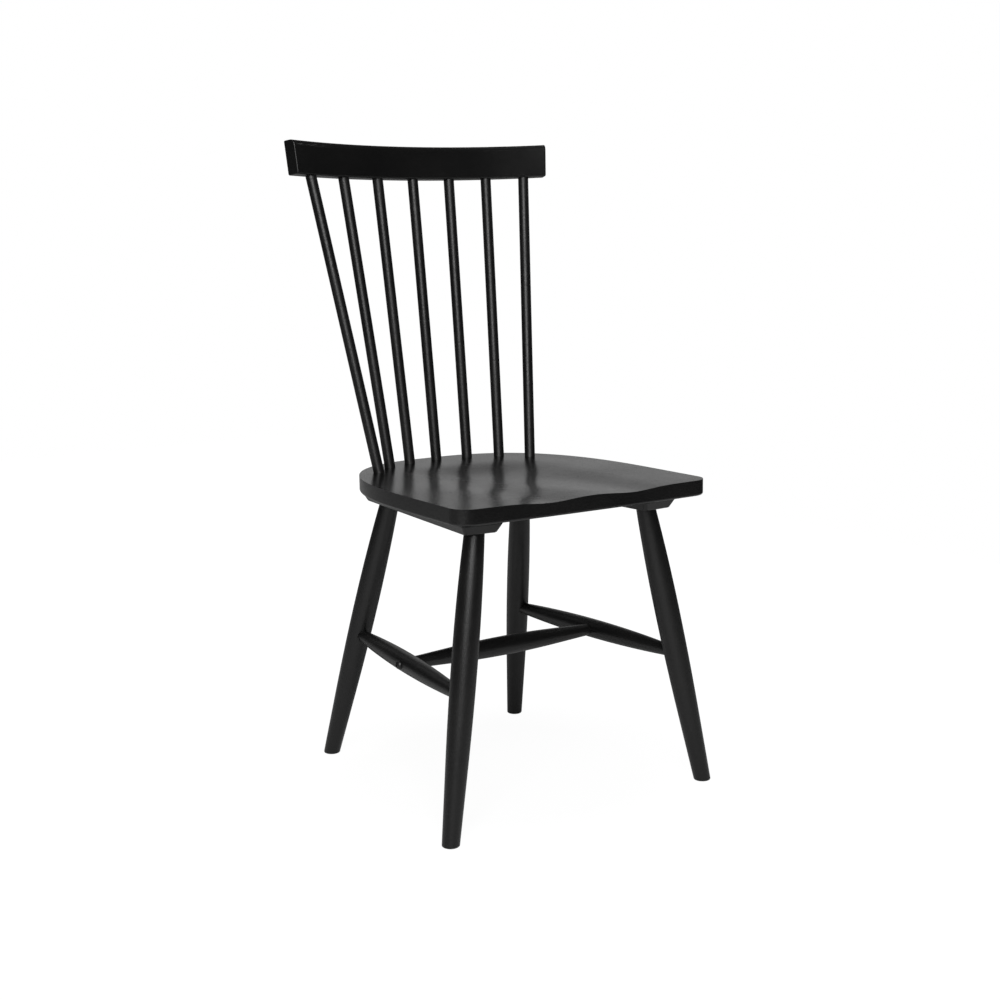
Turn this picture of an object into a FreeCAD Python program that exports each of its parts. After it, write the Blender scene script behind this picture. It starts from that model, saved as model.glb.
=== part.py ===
import FreeCAD, Part
import math
import os

V = FreeCAD.Vector

# Levels above the floor
seat_height = 440.0            # flat rim of the seat
seat_thickness = 21.8
cleat_height = 21.0

# Fits
glue_gap = 0.1                 # all round a glued tenon
end_gap = 0.5                  # past the end of a blind tenon
screw_gap = 0.05               # round a screw, bolt or sleeve

# Seat outline, seen from above
seat_back_y = 180.5            # middle of the rounded back edge
seat_waist_y = -124.8          # where the round back runs into the straight sides
seat_waist_half = 202.0
seat_front_half = 202.9        # half width at the front corners, before rounding
seat_front_y = -237.3          # middle of the bowed front edge
seat_front_bow = 5.2
seat_corner_radius = 27.0
seat_back_fullness = 2.7       # 2 is an ellipse, more is squarer
seat_bottom_round = 3.0

# Saddle of the seat: one bowl behind, two thigh scoops and a ridge in front
saddle_depth = 8.0
scoop_depth = 3.8              # left at the front edge
saddle_half_waist = 115.0
saddle_half_front = 127.0
saddle_back_y = 98.0
saddle_mid_y = 0.0
saddle_fullness = 3.0
saddle_slope_length = 70.0     # from the back rim of the bowl to its full depth
ridge_start_y = -15.0
ridge_full_y = -205.0
saddle_margin = 12.0           # of the smooth sheet past the outline
saddle_grid = 22               # control points each way

# Legs, all four turned alike
front_foot_out = 9.1           # sideways, past the front corner of the seat
front_foot_in = 27.0           # behind the front edge of the seat
front_top_side = 61.9          # sideways, in from the front corner
front_top_in = 69.8
rear_foot_side = 34.2          # sideways, in from the seat's half width
rear_foot_out = 24.9           # behind the back edge of the seat
rear_top_side = 88.2
rear_top_in = 80.0
leg_foot_diameter = 23.5
leg_belly_diameter = 34.6
leg_top_diameter = 26.9
leg_belly_height = 252.0       # along the leg, from the foot
leg_straight_foot = 105.0      # plain taper above the foot, before the belly swells
leg_straight_top = 12.0
foot_round = 2.0
leg_tenon_diameter = 19.0
leg_tenon_length = 17.0

# Cleats under the seat
cleat_bottom_width = 47.0
cleat_bevel = 6.0              # sideways, on all four lower edges
cleat_bevel_height = 12.0
cleat_front_overhang = 22.5    # from the leg axis to the end of the lower face
cleat_rear_overhang = 17.0
cleat_front_offset = 1.5       # outwards, from the leg axis to the cleat's middle line
cleat_rear_offset = 5.0
cleat_corner_round = 5.0       # seen from below
cleat_bottom_round = 4.0
cleat_edge_round = 1.5

# Stretchers
stretcher_height_front = 189.0
stretcher_height_rear = 192.2
stretcher_end_diameter = 17.5
stretcher_from_leg_axis = 2.0  # where the tenon stops inside the leg
side_middle_diameter = 27.8
side_plain = 3.0               # outside the leg, before the swelling starts
side_straight = 12.0           # plain taper at each end of the swelling
cross_middle_diameter = 27.8
cross_end_diameter = 17.0
cross_straight = 60.0
cross_place_share = 0.51       # of the side stretcher's length, from the rear leg
cross_from_side_axis = 6.5     # where the end of the cross stretcher stops

# Bolts through the side stretchers
bolt_diameter = 6.0
bolt_head_diameter = 13.0
bolt_head_height = 4.5
bolt_head_seat = 1.6           # depth of the flat that the head seats on
bolt_reach = 20.0              # into the cross stretcher
bolt_key_width = 4.0
bolt_key_depth = 2.2
bolt_head_clearance = 0.5      # round the head, in its flat
sleeve_diameter = 10.0
sleeve_length = 15.0

# Screws that hold the cleats to the seat
screw_diameter = 5.0
screw_head_diameter = 9.6
screw_head_height = 2.6
screw_into_seat = 10.5
screws_per_cleat = 3

# Back: spindles and crest rail
spindle_count = 7
spindle_diameter = 15.6
spindle_back_inset = 22.2      # from the back edge of the seat to the middle spindle's axis
spindle_side_inset = 40.5      # from the seat's half width to the spindles' ellipse
spindle_ring_depth = 140.0     # of that ellipse, from its middle to its back
spindle_ring_step = 18.07      # degrees round it, from spindle to spindle
spindle_rail_pitch = 61.3      # measured along the rail
spindle_length = 417.5         # seat to rail, at the middle
spindle_seat_depth = 13.0
spindle_tenon_diameter = 10.0
spindle_tenon_length = 22.0
back_lean = 7.15               # degrees
rail_radius = 632.0            # middle of the thickness
rail_length = 439.6            # along the arc, halfway up
rail_height = 48.2
rail_thickness = 19.8
rail_flare = 3.4               # how much further out each end stands at the top
rail_front_top_round = 8.5
rail_front_bottom_round = 3.0
rail_back_round = 2.0
rail_end_round = 1.5

# Values that follow
cleat_top_level = seat_height - seat_thickness
leg_top_level = cleat_top_level - cleat_height
front_foot_x = seat_front_half + front_foot_out
front_foot_y = seat_front_y + front_foot_in
front_top_x = seat_front_half - front_top_side
front_top_y = seat_front_y + front_top_in
rear_foot_x = seat_waist_half - rear_foot_side
rear_foot_y = seat_back_y + rear_foot_out
rear_top_x = seat_waist_half - rear_top_side
rear_top_y = seat_back_y - rear_top_in
big = 4.0 * seat_height
pieces = {}


def unit(vector):
    return vector * (1.0 / vector.Length)


def along(start, end):
    """Place a shape made along +Z from the origin so that it runs from start towards end."""
    return FreeCAD.Placement(start, FreeCAD.Rotation(V(0, 0, 1), end - start))


def rod(start, end, first, last, radius):
    """Cylinder on the line from start to end, between two distances from start."""
    cylinder = Part.makeCylinder(radius, last - first, V(0, 0, first))
    cylinder.Placement = along(start, end)
    return cylinder


def spun(outline, low, high):
    """Solid of revolution about Z from edges that meet the axis at low and at high."""
    axis = Part.makeLine(V(0, 0, high), V(0, 0, low))
    wire = Part.Wire(Part.__sortEdges__(outline + [axis]))
    return Part.Face(wire).revolve(V(0, 0, 0), V(0, 0, 1), 360)


def line(x1, z1, x2, z2):
    return Part.makeLine(V(x1, 0, z1), V(x2, 0, z2))


class HalfSwell:
    """Half of a turned swelling: a plain taper from one end, then an arc up to the belly."""

    def __init__(self, end, end_diameter, straight, belly, belly_diameter):
        self.belly = belly
        self.widest = belly_diameter / 2.0
        self.span = abs(belly - end)
        self.reach = self.span - straight
        growth = self.widest - end_diameter / 2.0
        self.bend = (self.span ** 2 - straight ** 2) / (2.0 * growth)
        self.join = belly + math.copysign(self.reach, end - belly)
        self.slope = self.reach / math.sqrt(self.bend ** 2 - self.reach ** 2)

    def radius(self, place):
        away = abs(place - self.belly)
        on_arc = min(away, self.reach)
        drop = self.bend - math.sqrt(self.bend ** 2 - on_arc ** 2)
        return self.widest - drop - self.slope * (away - on_arc)

    def point(self, place):
        return V(self.radius(place), 0, place)

    def edges(self, end):
        """From a place past the join up to the belly."""
        middle = self.point((self.join + self.belly) / 2.0)
        taper = Part.makeLine(self.point(end), self.point(self.join))
        return [taper, Part.Arc(self.point(self.join), middle, self.point(self.belly)).toShape()]


def turned_edges(lower, first, upper, last):
    """Side of a turned piece, from one end over the belly to the other."""
    upper_half = [Part.Edge(e) for e in reversed(upper.edges(last))]
    return lower.edges(first) + upper_half


def cut_all(shape, tools):
    for tool in tools:
        shape = shape.cut(tool)
    return shape


# Seat outline
def side_direction():
    slope = (seat_front_half - seat_waist_half) / (seat_waist_y - seat_front_y)
    return unit(V(-slope, 1, 0))


def seat_half_back():
    """Right half of the rounded back, from the waist to the middle."""
    points = []
    steps = 7
    reach = seat_back_y - seat_waist_y
    power = 2.0 / seat_back_fullness
    for step in range(steps + 1):
        angle = math.pi / 2 * step / steps
        across = abs(math.cos(angle)) ** power if step < steps else 0.0
        points.append(V(seat_waist_half * across, seat_waist_y + reach * math.sin(angle) ** power, 0))
    spline = Part.BSplineCurve()
    spline.interpolate(Points=points, InitialTangent=side_direction(), FinalTangent=V(-1, 0, 0))
    return spline.toShape()


def seat_blank():
    back = seat_half_back()
    other_back = back.mirror(V(0, 0, 0), V(1, 0, 0))
    right = V(seat_waist_half, seat_waist_y, 0)
    left = V(-seat_waist_half, seat_waist_y, 0)
    corner_y = seat_front_y + seat_front_bow
    front_right = V(seat_front_half, corner_y, 0)
    front_left = V(-seat_front_half, corner_y, 0)
    front = Part.Arc(front_left, V(0, seat_front_y, 0), front_right).toShape()
    sides = [Part.makeLine(left, front_left), front, Part.makeLine(front_right, right)]
    wire = Part.Wire(Part.__sortEdges__([back, other_back] + sides))
    blank = Part.Face(wire).extrude(V(0, 0, seat_thickness))
    corners = [e for e in blank.Edges if upright(e) and e.Vertexes[0].Y < seat_waist_y - 1]
    blank = blank.makeFillet(seat_corner_radius, corners)
    lower = [e for e in blank.Edges if e.BoundBox.ZMax < 0.01]
    blank = blank.makeFillet(seat_bottom_round, lower)
    blank.translate(V(0, 0, cleat_top_level))
    return blank


def upright(edge):
    box = edge.BoundBox
    return box.ZLength > 1 and box.XLength < 0.01 and box.YLength < 0.01


# Saddle of the seat
def ease(value):
    value = min(1.0, max(0.0, value))
    return value * value * (3.0 - 2.0 * value)


def hollow(x, y):
    """Depth of the saddle below the rim at one spot."""
    forward = (saddle_mid_y - y) / (saddle_mid_y - seat_front_y)
    half = saddle_half_waist + (saddle_half_front - saddle_half_waist) * max(0.0, forward)
    across = abs(x) / half
    if y > saddle_mid_y:
        behind = (y - saddle_mid_y) / (saddle_back_y - saddle_mid_y)
        across = (across ** saddle_fullness + behind ** saddle_fullness) ** (1.0 / saddle_fullness)
    if across >= 1.0:
        return 0.0
    bowl = (1.0 - across ** 2) ** 1.4
    scoops = math.sin(math.pi * across ** 1.1) ** 2
    split = ease((ridge_start_y - y) / (ridge_start_y - ridge_full_y))
    fall = ease((saddle_back_y - y) / saddle_slope_length)
    run_out = ease((ridge_start_y - y) / (ridge_start_y - seat_front_y))
    depth = saddle_depth + (scoop_depth - saddle_depth) * run_out
    return depth * fall ** 0.3 * ((1.0 - split) * bowl + split * scoops)


def saddle_tool():
    """Everything above the saddle surface; the surface is one smooth sheet past the outline."""
    half = max(seat_front_half, seat_waist_half) + saddle_margin
    low = seat_front_y - saddle_margin
    high = seat_back_y + saddle_margin
    count = saddle_grid
    poles = []
    for i in range(count):
        x = -half + 2.0 * half * i / (count - 1)
        row = []
        for j in range(count):
            y = low + (high - low) * j / (count - 1)
            row.append(V(x, y, seat_height - hollow(x, y)))
        poles.append(row)
    knots = [float(k) for k in range(count - 2)]
    mults = [4] + [1] * (count - 4) + [4]
    sheet = Part.BSplineSurface()
    sheet.buildFromPolesMultsKnots(poles, mults, mults, knots, knots, False, False, 3, 3)
    return sheet.toShape().extrude(V(0, 0, 2.0 * seat_thickness))


# Legs
corners = {
    "front_left": (-front_foot_x, front_foot_y, -front_top_x, front_top_y),
    "front_right": (front_foot_x, front_foot_y, front_top_x, front_top_y),
    "rear_left": (-rear_foot_x, rear_foot_y, -rear_top_x, rear_top_y),
    "rear_right": (rear_foot_x, rear_foot_y, rear_top_x, rear_top_y),
}
feet = {}
tops = {}
for corner, (foot_x, foot_y, top_x, top_y) in corners.items():
    feet[corner] = V(foot_x, foot_y, 0)
    tops[corner] = V(top_x, top_y, leg_top_level)


def at_height(corner, height):
    """Point on the axis of one leg."""
    return feet[corner] + (tops[corner] - feet[corner]) * (height / leg_top_level)


def leg_halves(corner):
    length = (tops[corner] - feet[corner]).Length
    belly = leg_belly_height
    lower = HalfSwell(0.0, leg_foot_diameter, leg_straight_foot, belly, leg_belly_diameter)
    upper = HalfSwell(length, leg_top_diameter, leg_straight_top, belly, leg_belly_diameter)
    return lower, upper


def leg(corner):
    foot = feet[corner]
    top = tops[corner]
    length = (top - foot).Length
    spare = leg_belly_diameter / 2.0
    lower, upper = leg_halves(corner)
    first = -spare
    last = length + spare
    outline = turned_edges(lower, first, upper, last)
    outline.append(line(0, first, lower.radius(first), first))
    outline.append(line(upper.radius(last), last, 0, last))
    body = spun(outline, first, last)
    body.Placement = along(foot, top)
    slab = Part.makeBox(big, big, leg_top_level, V(-big / 2, -big / 2, 0))
    body = body.common(slab)
    rim = [e for e in body.Edges if e.BoundBox.ZMax < 0.01]
    body = body.makeFillet(foot_round, rim)
    tenon = rod(foot, top, length - spare, length + leg_tenon_length, leg_tenon_diameter / 2.0)
    tenon = tenon.cut(Part.makeBox(big, big, leg_top_level, V(-big / 2, -big / 2, 0)))
    return body.fuse(tenon)


def leg_socket(corner):
    foot = feet[corner]
    top = tops[corner]
    length = (top - foot).Length
    far = length + leg_tenon_length + end_gap
    return rod(foot, top, length - leg_tenon_diameter, far, leg_tenon_diameter / 2.0 + glue_gap)


# Cleats
def rounded_ring(middle, long, wide, radius):
    """Rectangle with rounded corners; long and wide run from its middle to its sides."""
    turns = [(long, wide), (wide, long * -1.0), (long * -1.0, wide * -1.0), (wide * -1.0, long)]
    edges = []
    last = None
    first = None
    for before, after in turns:
        centre = middle + before + after - (unit(before) + unit(after)) * radius
        enter = centre + unit(before) * radius
        leave = centre + unit(after) * radius
        halfway = centre + unit(unit(before) + unit(after)) * radius
        if last:
            edges.append(Part.makeLine(last, enter))
        first = first or enter
        edges.append(Part.Arc(enter, halfway, leave).toShape())
        last = leave
    edges.append(Part.makeLine(last, first))
    return Part.Wire(edges)


def cleat(side):
    front = tops["front_" + side]
    rear = tops["rear_" + side]
    outward = V(math.copysign(1.0, front.x), 0, 0)
    front = front + outward * cleat_front_offset
    rear = rear + outward * cleat_rear_offset
    run = unit(V(rear.x - front.x, rear.y - front.y, 0))
    across = V(run.y, -run.x, 0)
    start = front - run * cleat_front_overhang
    end = rear + run * cleat_rear_overhang

    def ring(level, grow):
        wide = cleat_bottom_width / 2.0 + grow
        middle = (start + end) * 0.5 + V(0, 0, level)
        long = (end - start).Length / 2.0 + grow
        return rounded_ring(middle, run * long, across * wide, cleat_corner_round)

    lower = Part.makeLoft([ring(0, 0), ring(cleat_bevel_height, cleat_bevel)], True, True)
    upper = Part.Face(ring(cleat_bevel_height, cleat_bevel))
    body = lower.fuse(upper.extrude(V(0, 0, cleat_height - cleat_bevel_height)))
    body = body.removeSplitter()
    bottom = [e for e in body.Edges if e.BoundBox.ZMax < leg_top_level + 0.01]
    body = body.makeFillet(cleat_bottom_round, bottom)
    knee = leg_top_level + cleat_bevel_height
    soft = [e for e in body.Edges if abs(e.BoundBox.ZMax - knee) < 0.01 and e.BoundBox.ZLength < 0.01]
    body = body.makeFillet(cleat_edge_round, soft)
    tools = [leg_socket("front_" + side), leg_socket("rear_" + side)]
    for spot in screw_spots(side):
        tools.append(screw(spot, screw_gap))
    return cut_all(body, tools)


# Screws through the cleats
def screw_spots(side):
    front = tops["front_" + side]
    rear = tops["rear_" + side]
    step = 1.0 / (screws_per_cleat + 1)
    return [front + (rear - front) * (step * (n + 1)) for n in range(screws_per_cleat)]


def screw(spot, grow=0.0):
    head = screw_head_diameter / 2.0 + grow
    shank = screw_diameter / 2.0 + grow
    length = cleat_height + screw_into_seat + grow
    tip = length - shank
    outline = [line(0, -grow, head, -grow), line(head, -grow, shank, screw_head_height)]
    outline.append(line(shank, screw_head_height, shank, tip))
    outline.append(line(shank, tip, 0, length))
    body = spun(outline, -grow, length)
    body.translate(spot)
    return body


# Stretchers
def swelled(start, end, inner, reach_start, reach_end, ends, middle, straight):
    """Turned stretcher: plain tenons, then a swelling between the neighbours' surfaces."""
    length = (end - start).Length
    first = inner
    last = length - inner
    low = reach_start
    high = length - reach_end
    belly = (low + high) / 2.0
    lower = HalfSwell(low, ends, straight, belly, middle)
    upper = HalfSwell(high, ends, straight, belly, middle)
    radius = ends / 2.0
    outline = turned_edges(lower, low, upper, high)
    outline += [line(0, first, radius, first), line(radius, first, lower.radius(low), low)]
    outline += [line(upper.radius(high), high, radius, last), line(radius, last, 0, last)]
    body = spun(outline, first, last)
    body.rotate(V(0, 0, 0), V(0, 0, 1), -90)
    body.Placement = along(start, end).multiply(body.Placement)
    return body


side_ends = {}
cross_ends = {}
for side in ("left", "right"):
    rear_point = at_height("rear_" + side, stretcher_height_rear)
    front_point = at_height("front_" + side, stretcher_height_front)
    side_ends[side] = (rear_point, front_point)
    cross_ends[side] = rear_point + (front_point - rear_point) * cross_place_share

side_radius = side_middle_diameter / 2.0
head_from_axis = side_radius - bolt_head_seat


def leg_reach(corner, height):
    """Radius of one leg at a height above the floor."""
    lower, upper = leg_halves(corner)
    distance = (at_height(corner, height) - feet[corner]).Length
    half = lower if distance < leg_belly_height else upper
    return half.radius(distance)


def side_stretcher(side):
    rear_point, front_point = side_ends[side]
    rear_reach = leg_reach("rear_" + side, stretcher_height_rear)
    front_reach = leg_reach("front_" + side, stretcher_height_front)
    body = swelled(rear_point, front_point, stretcher_from_leg_axis, rear_reach + side_plain,
                   front_reach + side_plain, stretcher_end_diameter, side_middle_diameter, side_straight)
    here = cross_ends[side]
    other = cross_ends["right" if side == "left" else "left"]
    socket = cross_end_diameter / 2.0 + glue_gap
    hole = bolt_diameter / 2.0 + glue_gap
    flat = bolt_head_diameter / 2.0 + bolt_head_clearance
    tools = [rod(here, other, cross_from_side_axis, 2.0 * side_radius, socket)]
    tools.append(rod(here, other, -2.0 * side_radius, cross_from_side_axis, hole))
    tools.append(rod(here, other, -2.0 * side_radius, -head_from_axis, flat))
    return cut_all(body, tools)


def stretcher_sockets(corner):
    end, side = corner.split("_")
    rear_point, front_point = side_ends[side]
    start, target = (rear_point, front_point) if end == "rear" else (front_point, rear_point)
    first = stretcher_from_leg_axis - end_gap
    radius = stretcher_end_diameter / 2.0 + glue_gap
    return [rod(start, target, first, 2.0 * leg_belly_diameter, radius)]


def cross_stretcher():
    left = cross_ends["left"]
    right = cross_ends["right"]
    body = swelled(left, right, cross_from_side_axis, side_radius, side_radius,
                   cross_end_diameter, cross_middle_diameter, cross_straight)
    tools = []
    sleeve = sleeve_diameter / 2.0 + screw_gap
    hole = bolt_diameter / 2.0 + glue_gap
    for start, end in ((left, right), (right, left)):
        first = cross_from_side_axis
        tools.append(rod(start, end, first, first + sleeve_length, sleeve))
        tools.append(rod(start, end, first, first + bolt_reach + end_gap, hole))
    return cut_all(body, tools)


# Bolts and their threaded sleeves
def bolt(side):
    start = cross_ends[side]
    end = cross_ends["right" if side == "left" else "left"]
    radius = bolt_head_diameter / 2.0
    shank = bolt_diameter / 2.0
    under = -head_from_axis
    crown = under - bolt_head_height
    rise = bolt_head_height * 0.8
    sphere = (radius ** 2 + rise ** 2) / (2.0 * rise)
    half = radius / 2.0
    middle = V(half, 0, crown + sphere - math.sqrt(sphere ** 2 - half ** 2))
    edge = crown + rise
    reach = cross_from_side_axis + bolt_reach
    dome = Part.Arc(V(0, 0, crown), middle, V(radius, 0, edge)).toShape()
    outline = [dome, line(radius, edge, radius, under), line(radius, under, shank, under)]
    outline.append(line(shank, under, shank, reach - 1.0))
    outline.append(line(shank, reach - 1.0, shank - 1.0, reach))
    outline.append(line(shank - 1.0, reach, 0, reach))
    body = spun(outline, crown, reach)
    corner_radius = bolt_key_width / math.sqrt(3.0)
    turns = [math.radians(60 * n) for n in range(7)]
    outside = crown - bolt_key_depth
    key = [V(corner_radius * math.cos(a), corner_radius * math.sin(a), outside) for a in turns]
    key_solid = Part.Face(Part.makePolygon(key)).extrude(V(0, 0, 2.0 * bolt_key_depth))
    body = body.cut(key_solid)
    body.Placement = along(start, end)
    return body


def sleeve(side):
    start = cross_ends[side]
    end = cross_ends["right" if side == "left" else "left"]
    first = cross_from_side_axis
    last = first + sleeve_length
    body = rod(start, end, first, last, sleeve_diameter / 2.0)
    return body.cut(rod(start, end, first - 1.0, last + 1.0, bolt_diameter / 2.0 + screw_gap))


# Back
lean = math.radians(back_lean)
lean_up = V(0, math.sin(lean), math.cos(lean))
lean_back = V(0, math.cos(lean), -math.sin(lean))
middle_base = V(0, seat_back_y - spindle_back_inset, seat_height)
rail_foot = middle_base + lean_up * spindle_length
upper_side = FreeCAD.Placement(rail_foot, FreeCAD.Rotation(V(1, 0, 0), -back_lean))


def spindle_base(number):
    """Where a spindle's axis meets the seat, counted from the middle one."""
    angle = math.radians(number * spindle_ring_step)
    across = (seat_waist_half - spindle_side_inset) * math.sin(angle)
    return middle_base + V(across, -spindle_ring_depth * (1.0 - math.cos(angle)), 0)


def rail_point(number):
    angle = number * spindle_rail_pitch / rail_radius
    forward = rail_radius * (1.0 - math.cos(angle))
    return rail_foot + V(rail_radius * math.sin(angle), 0, 0) - lean_back * forward


numbers = [n - (spindle_count - 1) / 2.0 for n in range(spindle_count)]


def above_rail_foot():
    box = Part.makeBox(big, big, big, V(-big / 2, -big / 2, 0))
    box.Placement = upper_side
    return box


def spindle(number):
    base = spindle_base(number)
    top = rail_point(number)
    length = (top - base).Length
    radius = spindle_diameter / 2.0
    body = rod(base, top, -spindle_seat_depth, length + spindle_diameter, radius)
    body = body.cut(above_rail_foot())
    tenon = rod(base, top, length - 1.0, length + spindle_tenon_length, spindle_tenon_diameter / 2.0)
    return body.fuse(tenon.common(above_rail_foot()))


def long_edges(body, radius, level):
    """Edges of the bent rail at one radius and one height."""
    arcs = [e for e in body.Edges if isinstance(e.Curve, Part.Circle)]
    arcs = [e for e in arcs if abs(e.Curve.Radius - radius) < 0.01]
    return [e for e in arcs if abs(e.Vertexes[0].Z - level) < 0.01]


def crest_rail():
    def point(radius, angle, level=0.0):
        return V(radius * math.sin(angle), radius * math.cos(angle) - rail_radius, level)

    reach = (rail_length / 2.0 + rail_flare + rail_thickness) / rail_radius
    front = rail_radius - rail_thickness / 2.0
    back = rail_radius + rail_thickness / 2.0
    inner = Part.Arc(point(front, -reach), point(front, 0), point(front, reach)).toShape()
    outer = Part.Arc(point(back, reach), point(back, 0), point(back, -reach)).toShape()
    right = Part.makeLine(point(front, reach), point(back, reach))
    left = Part.makeLine(point(back, -reach), point(front, -reach))
    body = Part.Face(Part.Wire([inner, right, outer, left])).extrude(V(0, 0, rail_height))
    body = body.makeFillet(rail_front_top_round, long_edges(body, front, rail_height))
    body = body.makeFillet(rail_front_bottom_round, long_edges(body, front, 0.0))
    body = body.makeFillet(rail_back_round, long_edges(body, back, rail_height))
    body = body.makeFillet(rail_back_round, long_edges(body, back, 0.0))
    for side in (-1, 1):
        angle = side * rail_length / 2.0 / rail_radius
        outward = V(math.cos(angle), -math.sin(angle), 0) * side
        facing = unit(outward * rail_height - V(0, 0, rail_flare))
        middle = point(rail_radius, angle, rail_height / 2.0)
        beyond = Part.makeBox(big, big, big, V(-big / 2, -big / 2, 0))
        beyond.Placement = along(middle, middle + facing)
        body = body.cut(beyond)
    ends = [f for f in body.Faces if flat_end(f)]
    body = body.makeFillet(rail_end_round, [e for f in ends for e in f.Edges])
    body.Placement = upper_side
    tools = []
    for number in numbers:
        base = spindle_base(number)
        top = rail_point(number)
        length = (top - base).Length
        far = length + spindle_tenon_length + end_gap
        tools.append(rod(base, top, length - rail_thickness, far, spindle_tenon_diameter / 2.0 + glue_gap))
    return cut_all(body, tools)


def flat_end(face):
    return isinstance(face.Surface, Part.Plane) and abs(face.normalAt(0, 0).z) < 0.5


def seat():
    body = seat_blank().cut(saddle_tool())
    tools = []
    for number in numbers:
        base = spindle_base(number)
        radius = spindle_diameter / 2.0 + glue_gap
        depth = spindle_seat_depth + end_gap
        tools.append(rod(base, rail_point(number), -depth, seat_thickness, radius))
    for side in ("left", "right"):
        for spot in screw_spots(side):
            tools.append(screw(spot, screw_gap))
    return cut_all(body, tools)


# All pieces
pieces["seat"] = seat()
for side in ("left", "right"):
    pieces["cleat_" + side] = cleat(side)
    pieces["side_stretcher_" + side] = side_stretcher(side)
for corner in corners:
    pieces["leg_" + corner] = cut_all(leg(corner), stretcher_sockets(corner))
pieces["cross_stretcher"] = cross_stretcher()
pieces["crest_rail"] = crest_rail()
for place, number in enumerate(numbers):
    pieces["spindle_%d" % (place + 1)] = spindle(number)
pieces["stretcher_bolts"] = Part.makeCompound([bolt("left"), bolt("right")])
pieces["threaded_sleeves"] = Part.makeCompound([sleeve("left"), sleeve("right")])
screws = [screw(spot) for side in ("left", "right") for spot in screw_spots(side)]
pieces["cleat_screws"] = Part.makeCompound(screws)

# The origin goes on the floor under the middle of the whole chair
whole = Part.makeCompound(list(pieces.values())).optimalBoundingBox(False, False)
shift = V(0, -(whole.YMin + whole.YMax) / 2.0, 0)
os.makedirs("parts", exist_ok=True)
for name, shape in pieces.items():
    shape.translate(shift)
    shape.exportStep("parts/%s.step" % name)
    box = shape.BoundBox
    print("%-20s solids %d valid %s volume %.0f z %.1f to %.1f" %
          (name, len(shape.Solids), shape.isValid(), shape.Volume, box.ZMin, box.ZMax))
print("size %.1f %.1f %.1f shift %.2f" % (whole.XLength, whole.YLength, whole.ZLength, shift.y))
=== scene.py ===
import math

import bmesh
import bpy
from mathutils import Matrix, Vector


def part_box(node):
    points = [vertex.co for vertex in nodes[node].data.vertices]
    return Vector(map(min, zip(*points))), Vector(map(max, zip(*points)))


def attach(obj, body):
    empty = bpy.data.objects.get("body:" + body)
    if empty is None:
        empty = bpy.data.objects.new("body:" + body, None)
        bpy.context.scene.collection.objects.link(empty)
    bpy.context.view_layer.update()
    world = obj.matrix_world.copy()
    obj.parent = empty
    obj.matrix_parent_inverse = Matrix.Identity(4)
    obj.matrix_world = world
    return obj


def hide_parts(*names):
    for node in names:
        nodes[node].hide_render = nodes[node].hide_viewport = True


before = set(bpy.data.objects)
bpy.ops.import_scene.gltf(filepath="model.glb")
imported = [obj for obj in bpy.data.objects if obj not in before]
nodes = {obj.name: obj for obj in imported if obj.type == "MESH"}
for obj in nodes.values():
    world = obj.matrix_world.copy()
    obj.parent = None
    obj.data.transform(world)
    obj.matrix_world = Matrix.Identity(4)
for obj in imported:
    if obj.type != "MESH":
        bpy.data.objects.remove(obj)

scene = bpy.context.scene
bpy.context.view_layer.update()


# Camera, solved from the photograph
photoCamera = {
    "place": (-1.18704, -1.80928, 0.78045),
    "right": (0.83354, -0.55230, -0.01310),
    "up": (0.10629, 0.13705, 0.98484),
    "ahead": (0.54213, 0.82230, -0.17295),
    "lens": 55.539,
    "sensor": 36.0,
    "farEnd": 60.0,
}


def setCamera(values):
    data = bpy.data.cameras.new("photoCamera")
    data.sensor_width = values["sensor"]
    data.lens = values["lens"]
    data.clip_end = values["farEnd"]
    data.dof.use_dof = False
    camera = bpy.data.objects.new("photoCamera", data)
    scene.collection.objects.link(camera)
    right, up = Vector(values["right"]), Vector(values["up"])
    back = -Vector(values["ahead"])
    turn = Matrix((right, up, back)).transposed().to_4x4()
    camera.matrix_world = Matrix.Translation(values["place"]) @ turn
    scene.camera = camera


setCamera(photoCamera)
scene.view_settings.view_transform = "Standard"
print("camera ready")


# Small helpers for shader trees
def addNode(tree, kind, **settings):
    node = tree.nodes.new(kind)
    for name, value in settings.items():
        setattr(node, name, value)
    return node


def feed(tree, source, target):
    if hasattr(source, "is_linked"):
        tree.links.new(source, target)
    else:
        target.default_value = source


def mathNode(tree, operation, *values):
    node = addNode(tree, "ShaderNodeMath", operation=operation)
    for socket, value in zip(node.inputs, values):
        feed(tree, value, socket)
    return node.outputs[0]


def vectorNode(tree, operation, *values, scale=None):
    node = addNode(tree, "ShaderNodeVectorMath", operation=operation)
    for socket, value in zip(node.inputs, values):
        feed(tree, value, socket)
    if scale is not None:
        feed(tree, scale, node.inputs["Scale"])
    return node.outputs["Value" if operation in ("DOT_PRODUCT", "LENGTH") else "Vector"]


def noise(tree, place, scale, detail, rough):
    node = addNode(tree, "ShaderNodeTexNoise")
    feed(tree, place, node.inputs["Vector"])
    node.inputs["Scale"].default_value = scale
    node.inputs["Detail"].default_value = detail
    node.inputs["Roughness"].default_value = rough
    return node.outputs["Fac"]


def remap(tree, value, span, toLow, toHigh):
    node = addNode(tree, "ShaderNodeMapRange", clamp=True)
    feed(tree, value, node.inputs["Value"])
    for name, number in zip(("From Min", "From Max", "To Min", "To Max"), (*span, toLow, toHigh)):
        node.inputs[name].default_value = number
    return node.outputs["Result"]


def objectPlace(tree):
    return addNode(tree, "ShaderNodeTexCoord").outputs["Object"]


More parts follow.
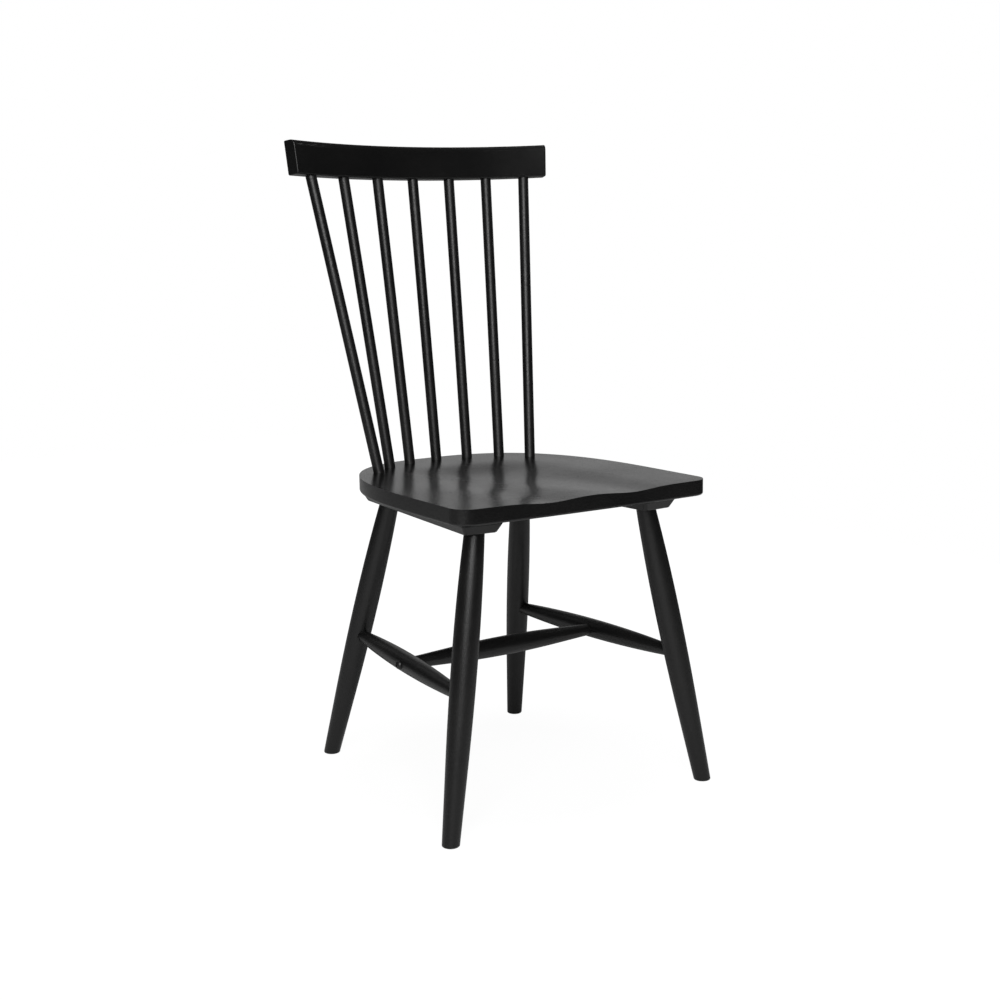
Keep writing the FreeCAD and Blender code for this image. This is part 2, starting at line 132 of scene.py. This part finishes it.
def newGroup(name, inputs, outputs):
    tree = bpy.data.node_groups.new(name, "ShaderNodeTree")
    for label, (kind, value) in inputs.items():
        socket = tree.interface.new_socket(name=label, in_out="INPUT", socket_type=kind)
        socket.default_value = value
    for label in outputs:
        tree.interface.new_socket(name=label, in_out="OUTPUT", socket_type="NodeSocketFloat")
    return tree, addNode(tree, "NodeGroupInput"), addNode(tree, "NodeGroupOutput")


# Wood grain under paint: fibres run along one direction, and pores and wide waves show through
grainPattern = {
    "waves": {"scale": 1.0, "detail": 2.0, "rough": 0.45},
    "pores": {"scale": 1.0, "detail": 2.0, "rough": 0.6},
    "cloud": {"scale": 9.0, "detail": 4.0, "rough": 0.55},
    "poreEdge": (0.30, 0.46),        # pattern levels between which a pore fades out
}


def makePaintedGrain(values):
    tree, inside, outside = newGroup("Painted Grain", {
        "Fibre Direction": ("NodeSocketVector", (0.0, 0.0, 1.0)),
        "Fibre Stretch": ("NodeSocketFloat", 0.08),
        "Seed": ("NodeSocketFloat", 0.0),
        "Wave Size": ("NodeSocketFloat", 0.03),
        "Pore Size": ("NodeSocketFloat", 0.0006),
    }, ("Waves", "Pores", "Cloud"))
    coordinates = objectPlace(tree)
    direction = vectorNode(tree, "NORMALIZE", inside.outputs["Fibre Direction"])
    length = vectorNode(tree, "DOT_PRODUCT", coordinates, direction)
    lengthways = vectorNode(tree, "SCALE", direction, scale=length)
    crossways = vectorNode(tree, "SUBTRACT", coordinates, lengthways)
    squeezed = vectorNode(tree, "SCALE", lengthways, scale=inside.outputs["Fibre Stretch"])
    place = vectorNode(tree, "ADD", crossways, squeezed)
    offset = addNode(tree, "ShaderNodeCombineXYZ")
    for axis in ("X", "Y", "Z"):
        feed(tree, inside.outputs["Seed"], offset.inputs[axis])
    place = vectorNode(tree, "ADD", place, offset.outputs["Vector"])
    waveScale = mathNode(tree, "DIVIDE", 1.0, inside.outputs["Wave Size"])
    poreScale = mathNode(tree, "DIVIDE", 1.0, inside.outputs["Pore Size"])
    waves = noise(tree, vectorNode(tree, "SCALE", place, scale=waveScale), **values["waves"])
    pores = noise(tree, vectorNode(tree, "SCALE", place, scale=poreScale), **values["pores"])
    cloudPlace = vectorNode(tree, "ADD", coordinates, offset.outputs["Vector"])
    feed(tree, waves, outside.inputs["Waves"])
    feed(tree, remap(tree, pores, values["poreEdge"], 1.0, 0.0), outside.inputs["Pores"])
    feed(tree, noise(tree, cloudPlace, **values["cloud"]), outside.inputs["Cloud"])
    return tree


# Sprayed paint: fine orange peel and a little dust, most of it on what faces up
filmPattern = {
    "peel": {"scale": 1.0, "detail": 1.0, "rough": 0.4},
    "specks": {"scale": 1.0, "detail": 1.0, "rough": 0.5},
    "speckEdge": (0.70, 0.80),
    "upwardSpan": (0.2, 0.9),
    "sideShare": 0.1,
}


def makeSprayedFilm(values):
    tree, inside, outside = newGroup("Sprayed Film", {
        "Peel Size": ("NodeSocketFloat", 0.0022),
        "Dust Size": ("NodeSocketFloat", 0.0011),
        "Dust Amount": ("NodeSocketFloat", 0.4),
    }, ("Peel", "Dust"))
    coordinates = objectPlace(tree)
    peelScale = mathNode(tree, "DIVIDE", 1.0, inside.outputs["Peel Size"])
    dustScale = mathNode(tree, "DIVIDE", 1.0, inside.outputs["Dust Size"])
    peel = noise(tree, vectorNode(tree, "SCALE", coordinates, scale=peelScale), **values["peel"])
    specks = noise(tree, vectorNode(tree, "SCALE", coordinates, scale=dustScale), **values["specks"])
    specks = remap(tree, specks, values["speckEdge"], 0.0, 1.0)
    up = addNode(tree, "ShaderNodeSeparateXYZ")
    feed(tree, addNode(tree, "ShaderNodeNewGeometry").outputs["Normal"], up.inputs[0])
    upward = remap(tree, up.outputs["Z"], values["upwardSpan"], values["sideShare"], 1.0)
    dust = mathNode(tree, "MULTIPLY", specks, upward)
    dust = mathNode(tree, "MULTIPLY", dust, inside.outputs["Dust Amount"])
    feed(tree, peel, outside.inputs["Peel"])
    feed(tree, dust, outside.inputs["Dust"])
    return tree


paintedGrain = makePaintedGrain(grainPattern)
sprayedFilm = makeSprayedFilm(filmPattern)
print("shader groups ready")


def placeGroup(tree, group, values):
    node = addNode(tree, "ShaderNodeGroup", node_tree=group)
    for name, value in values.items():
        node.inputs[name].default_value = value
    return node


def newMaterial(name):
    material = bpy.data.materials.new(name)
    material.use_nodes = True
    tree = material.node_tree
    return material, tree, tree.nodes["Principled BSDF"]


def mixColour(tree, share, first, second):
    node = addNode(tree, "ShaderNodeMix", data_type="RGBA")
    feed(tree, share, node.inputs["Factor"])
    for name, value in (("A", first), ("B", second)):
        feed(tree, (*value, 1.0) if isinstance(value, tuple) else value, node.inputs[name])
    return node.outputs["Result"]


def bump(tree, height, depth, normal=None):
    node = addNode(tree, "ShaderNodeBump")
    node.inputs["Strength"].default_value = 1.0
    node.inputs["Distance"].default_value = depth
    feed(tree, height, node.inputs["Height"])
    if normal is not None:
        feed(tree, normal, node.inputs["Normal"])
    return node.outputs["Normal"]


# Satin black paint on wood
satinBlack = {
    "deep": (0.0030, 0.0030, 0.0031),
    "thin": (0.0052, 0.0050, 0.0049),     # where the paint lies thinner
    "thinSpan": (0.35, 0.72),
    "dust": (0.11, 0.11, 0.108),
    "roughLow": 0.27,
    "roughHigh": 0.35,
    "roughSpan": (0.3, 0.7),
    "poreRough": 0.06,                    # added in the pores
    "waveSize": 0.03,
    "waveDepth": 0.00016,
    "poreDepth": 0.00004,
    "peelDepth": 0.000026,
    "peelSize": 0.0022,
    "refraction": 1.5,
}


def blackWood(name, fibres, seed, **changes):
    values = {**satinBlack, **changes}
    material, tree, shader = newMaterial(name)
    grain = placeGroup(tree, paintedGrain, {
        "Fibre Direction": fibres, "Seed": seed, "Wave Size": values["waveSize"]})
    film = placeGroup(tree, sprayedFilm, {"Peel Size": values["peelSize"]})
    cloud, pores = grain.outputs["Cloud"], grain.outputs["Pores"]
    thin = remap(tree, cloud, values["thinSpan"], 0.0, 1.0)
    colour = mixColour(tree, thin, values["deep"], values["thin"])
    colour = mixColour(tree, film.outputs["Dust"], colour, values["dust"])
    feed(tree, colour, shader.inputs["Base Color"])
    rough = remap(tree, cloud, values["roughSpan"], values["roughLow"], values["roughHigh"])
    rough = mathNode(tree, "MULTIPLY_ADD", pores, values["poreRough"], rough)
    feed(tree, rough, shader.inputs["Roughness"])
    normal = bump(tree, grain.outputs["Waves"], values["waveDepth"])
    normal = bump(tree, mathNode(tree, "SUBTRACT", 1.0, pores), values["poreDepth"], normal)
    normal = bump(tree, film.outputs["Peel"], values["peelDepth"], normal)
    feed(tree, normal, shader.inputs["Normal"])
    shader.inputs["IOR"].default_value = values["refraction"]
    return material


def dress(name, material):
    for slot in nodes[name].material_slots:
        slot.material = material


# Seat
seatBoard = {
    "fibres": (0.0, 1.0, 0.0),
    "seed": 1.0,
    "roughLow": 0.19,
    "roughHigh": 0.25,
    "peelDepth": 0.00005,
    "peelSize": 0.0024,
}
dress("seat", blackWood("seatBlack", **seatBoard))

# Crest rail
railBoard = {"fibres": (1.0, 0.0, 0.0), "seed": 2.0, "waveSize": 0.025}
dress("crest_rail", blackWood("railBlack", **railBoard))

# Spindles, legs and stretchers: fibres along each rod
turnedWood = {
    "leg": {"roughLow": 0.31, "roughHigh": 0.40, "peelDepth": 0.00019, "peelSize": 0.0022},
    "spindle": {"roughLow": 0.32, "roughHigh": 0.46, "peelDepth": 0.00020, "peelSize": 0.0026},
    "waveSize": 0.016,
    "firstSeed": 3.0,
}


def along(name):
    low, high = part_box(name)
    middle = (low + high) / 2.0
    points = [v.co for v in nodes[name].data.vertices]
    far = max(points, key=lambda p: (p - middle).length)
    away = max(points, key=lambda p: (p - far).length)
    return (far - away).normalized()


rods = [n for n in nodes if n.startswith(("spindle", "leg", "side_stretcher", "cross_stretcher"))]
for count, name in enumerate(sorted(rods)):
    look = turnedWood["spindle" if name.startswith("spindle") else "leg"]
    seed = turnedWood["firstSeed"] + count
    material = blackWood(name + "Black", tuple(along(name)), seed,
                         waveSize=turnedWood["waveSize"], **look)
    dress(name, material)

# Cleats
cleatBoards = {"fibres": (0.0, 1.0, 0.0), "seeds": {"cleat_left": 30.0, "cleat_right": 31.0}}
for name, seed in cleatBoards["seeds"].items():
    dress(name, blackWood(name + "Black", cleatBoards["fibres"], seed))
print("wood dressed")


# Metal parts
plainMetal = {
    "cloud": {"scale": 700.0, "detail": 3.0, "rough": 0.6},
    "cloudSpan": (0.3, 0.7),
    "darkShare": 0.7,
    "fleck": 0.06,              # how far the roughness swings to either side
    "depth": 0.00001,
}


def metal(values, name, colour, rough, metallic):
    material, tree, shader = newMaterial(name)
    cloud = noise(tree, objectPlace(tree), **values["cloud"])
    darker = tuple(c * values["darkShare"] for c in colour)
    feed(tree, mixColour(tree, cloud, darker, colour), shader.inputs["Base Color"])
    low, high = rough - values["fleck"], rough + values["fleck"]
    feed(tree, remap(tree, cloud, values["cloudSpan"], low, high), shader.inputs["Roughness"])
    shader.inputs["Metallic"].default_value = metallic
    feed(tree, bump(tree, cloud, values["depth"]), shader.inputs["Normal"])
    return material


fixings = {
    "stretcher_bolts": {
        "name": "boltBlack", "colour": (0.010, 0.010, 0.010), "rough": 0.30, "metallic": 0.0},
    "threaded_sleeves": {
        "name": "sleeveBrass", "colour": (0.62, 0.42, 0.16), "rough": 0.3, "metallic": 1.0},
    "cleat_screws": {
        "name": "screwZinc", "colour": (0.52, 0.52, 0.54), "rough": 0.32, "metallic": 1.0},
}
fixingLooks = {name: metal(plainMetal, **values) for name, values in fixings.items()}
for name, material in fixingLooks.items():
    dress(name, material)


# Stretcher bolts: high domed heads with a hexagonal key recess, on their shanks
boltShape = {
    "headRadius": 0.0064,
    "domeHeight": 0.0056,
    "rimHeight": 0.0022,
    "proud": 0.0026,           # past the crown of the plainer head it replaces
    "keyWidth": 0.0040,
    "keyDepth": 0.0026,
    "keyCorner": 1.16,         # from flat to corner, where the dome starts
    "shankRadius": 0.0030,
    "steps": 48,
    "domeRings": 10,
    "sharpAngle": 35.0,
}


# Radius and depth below the crown, ring by ring, from the key recess to the shank's end
def boltRings(values, reach):
    head, dome = values["headRadius"], values["domeHeight"]
    key = values["keyWidth"] / 2.0
    start = math.asin(key * values["keyCorner"] / head)
    rings = [("key", key, values["keyDepth"]), ("key", key, dome * (1.0 - math.cos(start)))]
    for step in range(values["domeRings"] + 1):
        angle = start + (math.pi / 2.0 - start) * step / values["domeRings"]
        rings.append(("round", head * math.sin(angle), dome * (1.0 - math.cos(angle))))
    under = dome + values["rimHeight"]
    rings.append(("round", head, under))
    rings.append(("round", values["shankRadius"], under))
    rings.append(("round", values["shankRadius"], reach))
    return rings


def makeBolts(values):
    low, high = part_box("stretcher_bolts")
    middle = (Vector(low) + Vector(high)) / 2.0
    inner = min(abs(v.co.x) for v in nodes["stretcher_bolts"].data.vertices)
    crown = high[0] + values["proud"]
    rings = boltRings(values, crown - inner)
    steps = values["steps"]
    build = bmesh.new()
    for side in (-1.0, 1.0):
        loops = []
        for kind, radius, depth in rings:
            loop = []
            for step in range(steps):
                turn = math.tau * step / steps
                wide = radius
                if kind == "key":
                    wide = radius / math.cos(turn % (math.pi / 3.0) - math.pi / 6.0)
                across, lift = wide * math.cos(turn), wide * math.sin(turn)
                place = (side * (crown - depth), middle.y + across, middle.z + lift)
                loop.append(build.verts.new(place))
            loops.append(loop)
        build.faces.new(loops[0])
        build.faces.new(loops[-1])
        for one, two in zip(loops, loops[1:]):
            for step in range(steps):
                after = (step + 1) % steps
                build.faces.new((one[step], one[after], two[after], two[step]))
    bmesh.ops.recalc_face_normals(build, faces=build.faces)
    mesh = bpy.data.meshes.new("stretcherBolts")
    build.to_mesh(mesh)
    build.free()
    mesh.shade_smooth()
    mesh.set_sharp_from_angle(angle=math.radians(values["sharpAngle"]))
    bolts = bpy.data.objects.new("stretcherBolts", mesh)
    scene.collection.objects.link(bolts)
    mesh.materials.append(fixingLooks["stretcher_bolts"])
    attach(bolts, "root")
    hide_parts("stretcher_bolts")


makeBolts(boltShape)
print("fixings dressed")


# Floor and lights
white = (1.0, 1.0, 1.0, 1.0)
studio = {
    "floorLow": (-3.4, -1.5),     # metres; the floor reaches further behind the chair than in front
    "floorHigh": (1.7, 3.6),
    "floorColour": (0.9, 0.9, 0.9, 1.0),
    "floorRough": 0.9,
    "whiteLevel": 1.054,          # of the floor that the camera sees, before the shadow is mixed in
    "shadowShare": 0.1,           # how much real light and shadow shows near the chair
    "shadowFade": (0.2, 0.52),    # metres from the middle, over which that share fades out
    "worldLevel": 0.05,
    "backdropLevel": 1.0,
}


def makeFloor(values):
    (left, front), (right, back) = values["floorLow"], values["floorHigh"]
    corners = [(left, front, 0), (right, front, 0), (right, back, 0), (left, back, 0)]
    mesh = bpy.data.meshes.new("floor")
    mesh.from_pydata(corners, [], [(0, 1, 2, 3)])
    floor = bpy.data.objects.new("floor", mesh)
    scene.collection.objects.link(floor)
    material, tree, shader = newMaterial("paleFloor")
    shader.inputs["Base Color"].default_value = values["floorColour"]
    shader.inputs["Roughness"].default_value = values["floorRough"]
    shader.inputs["Specular IOR Level"].default_value = 0.0
    glow = addNode(tree, "ShaderNodeEmission")
    glow.inputs["Color"].default_value = white
    glow.inputs["Strength"].default_value = values["whiteLevel"]
    away = vectorNode(tree, "LENGTH", objectPlace(tree))
    plain = remap(tree, away, values["shadowFade"], 1.0 - values["shadowShare"], 1.0)
    rays = addNode(tree, "ShaderNodeLightPath")
    share = mathNode(tree, "MULTIPLY", rays.outputs["Is Camera Ray"], plain)
    mix = addNode(tree, "ShaderNodeMixShader")
    feed(tree, share, mix.inputs["Fac"])
    feed(tree, shader.outputs["BSDF"], mix.inputs[1])
    feed(tree, glow.outputs["Emission"], mix.inputs[2])
    feed(tree, mix.outputs["Shader"], tree.nodes["Material Output"].inputs["Surface"])
    mesh.materials.append(material)


# Soft boxes round the chair: direction and height in degrees, seen from the chair, then metres
lamps = {
    "frontBox": {"around": -36.0, "above": 32.0, "away": 3.2, "size": (1.7, 2.5), "level": 6.6},
    "backWall": {"around": 152.0, "above": 11.0, "away": 3.4, "size": (4.2, 1.5), "level": 0.42},
    "rightFill": {"around": 104.0, "above": 24.0, "away": 3.2, "size": (0.8, 1.6), "level": 0.8},
    "highFill": {"around": -158.0, "above": 46.0, "away": 3.2, "size": (2.2, 1.6), "level": 0.35},
    "overheadFill": {"around": 180.0, "above": 84.0, "away": 3.2, "size": (2.4, 2.4), "level": 0.4},
}
lampAim = Vector((0.0, 0.0, 0.45))


def makeLamp(name, values):
    data = bpy.data.lights.new(name, "AREA")
    data.shape = "RECTANGLE"
    data.size, data.size_y = values["size"]
    data.energy = values["level"] * math.pi * data.size * data.size_y
    lamp = bpy.data.objects.new(name, data)
    scene.collection.objects.link(lamp)
    around, above = math.radians(values["around"]), math.radians(values["above"])
    flat = math.cos(above)
    outward = Vector((math.sin(around) * flat, -math.cos(around) * flat, math.sin(above)))
    lamp.location = lampAim + outward * values["away"]
    lamp.rotation_euler = outward.to_track_quat("Z", "Y").to_euler()
    lamp.visible_camera = False


def makeWorld(values):
    world = bpy.data.worlds.new("studioWorld")
    scene.world = world
    world.use_nodes = True
    tree = world.node_tree
    plain = tree.nodes["Background"]
    plain.inputs["Color"].default_value = white
    plain.inputs["Strength"].default_value = values["worldLevel"]
    backdrop = addNode(tree, "ShaderNodeBackground")
    backdrop.inputs["Color"].default_value = white
    backdrop.inputs["Strength"].default_value = values["backdropLevel"]
    rays = addNode(tree, "ShaderNodeLightPath")
    mix = addNode(tree, "ShaderNodeMixShader")
    feed(tree, rays.outputs["Is Camera Ray"], mix.inputs["Fac"])
    feed(tree, plain.outputs["Background"], mix.inputs[1])
    feed(tree, backdrop.outputs["Background"], mix.inputs[2])
    feed(tree, mix.outputs["Shader"], tree.nodes["World Output"].inputs["Surface"])


makeFloor(studio)
makeWorld(studio)
for name, values in lamps.items():
    makeLamp(name, values)
print("studio ready")
